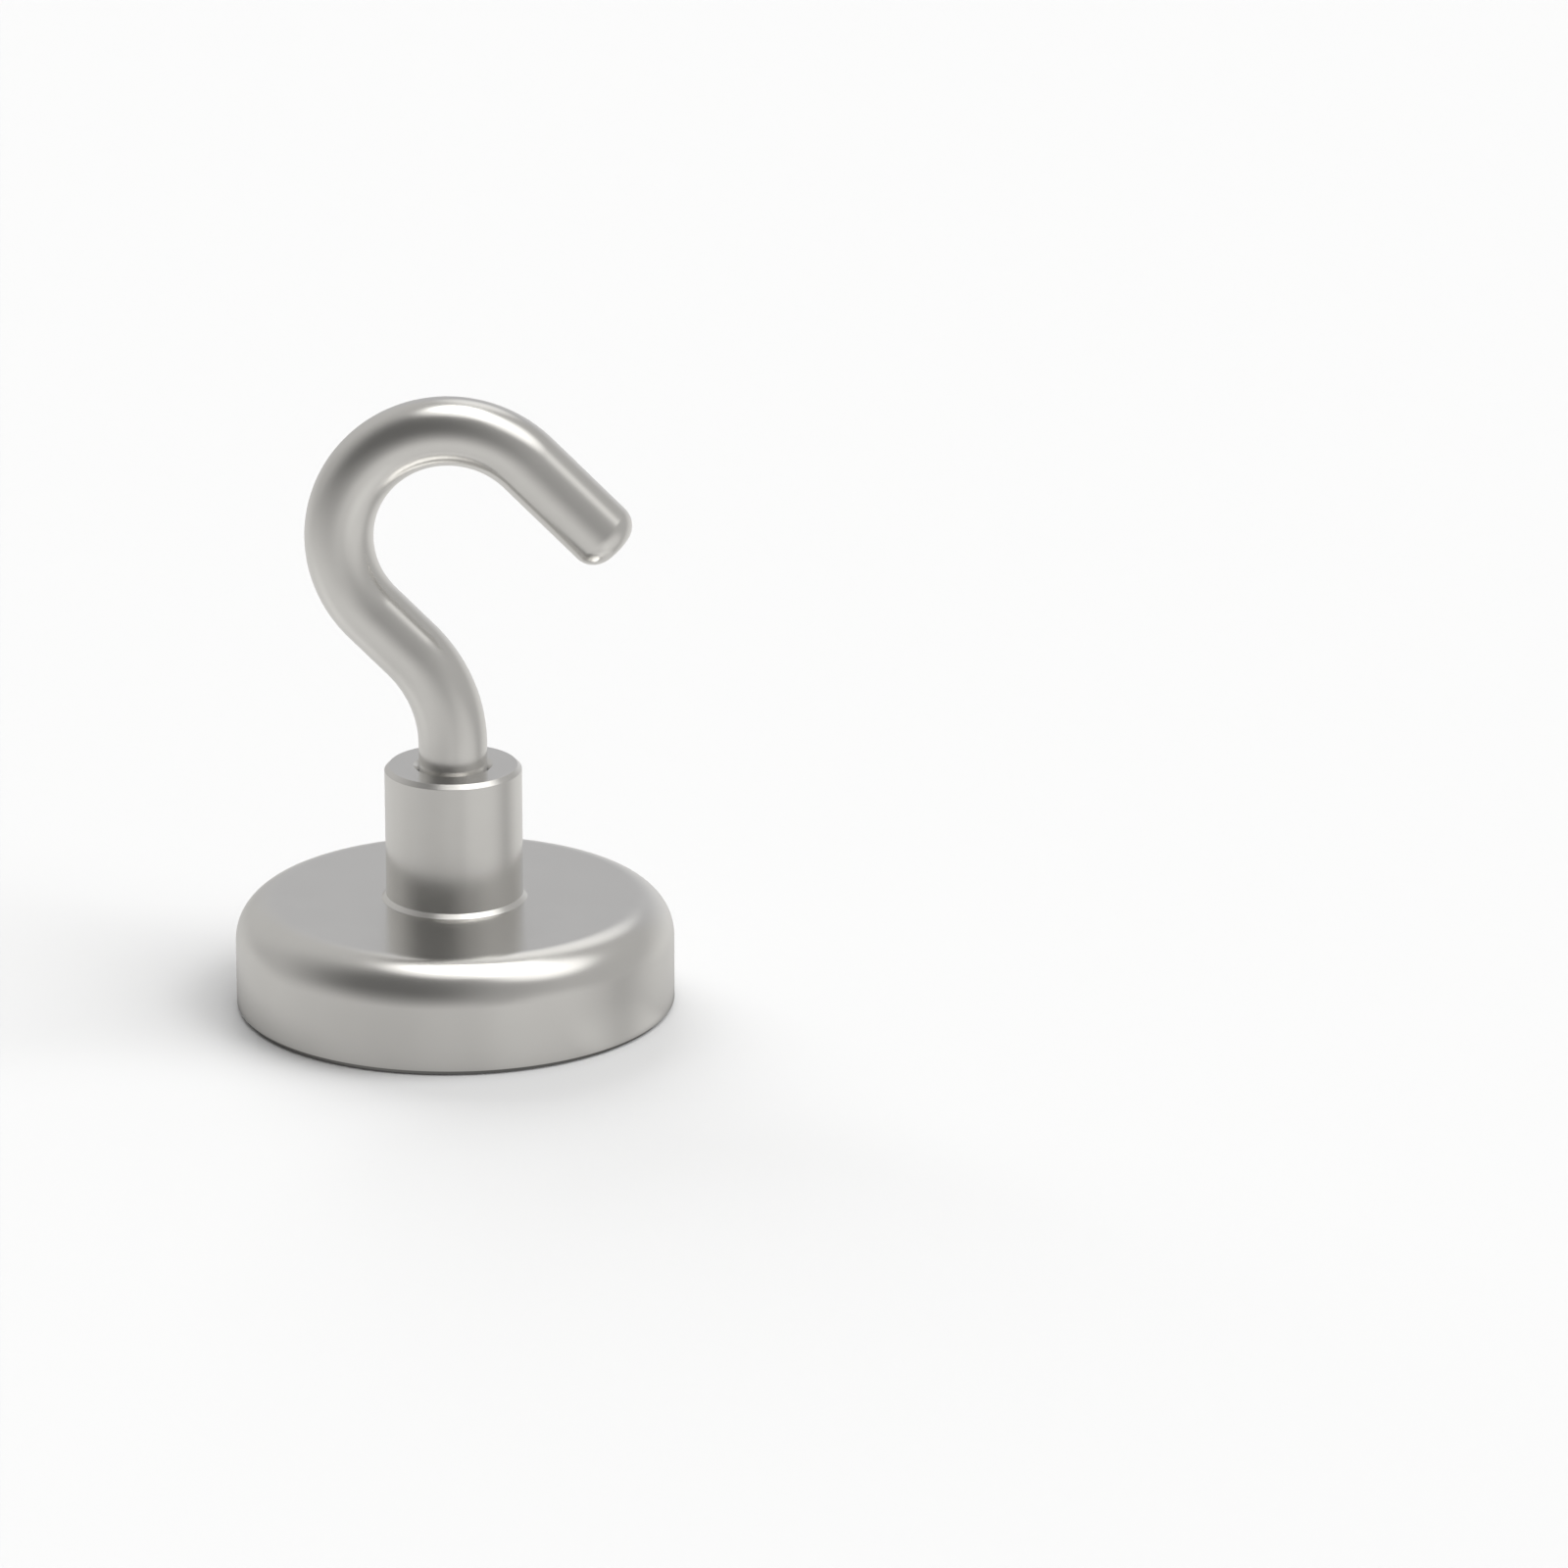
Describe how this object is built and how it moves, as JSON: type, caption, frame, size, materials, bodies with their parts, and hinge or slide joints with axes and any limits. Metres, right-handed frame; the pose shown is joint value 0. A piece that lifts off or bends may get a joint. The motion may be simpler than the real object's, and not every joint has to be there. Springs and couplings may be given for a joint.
{
  "type": "magnetic hook",
  "caption": "Round pot magnet with a bush on its back and a bent rod hook screwed into it, for hanging things from steel surfaces.",
  "frame": {"origin": "centre of the magnet face, at the bottom of the pot", "axes": "+Z along the stem's axis, from the magnet face towards the hook; +X from the stem towards the hook's open side"},
  "size_m": [0.025, 0.025, 0.0358],
  "materials": {
    "pot_nickel": "satin nickel plate over steel",
    "bush_nickel": "satin nickel plate over turned steel",
    "rod_nickel": "satin nickel plate over steel rod",
    "magnet_nickel": "dull nickel plate over sintered magnet",
    "resin": "pale matt cast resin",
    "glue": "cured glue, out of sight"
  },
  "bodies": {
    "base": {"magnet_cup": "pot_nickel", "threaded_bush": "bush_nickel", "magnet_disc": "magnet_nickel", "potting_ring": "resin", "adhesive_layer": "glue"},
    "hook": {"hook": "rod_nickel"}
  },
  "joints": [
    {"name": "hook_turn", "type": "hinge", "parent": "base", "child": "hook", "pos_m": [0, 0, 0.01418], "axis": [0, 0, 1], "range_deg": [-180, 180]}
  ]
}
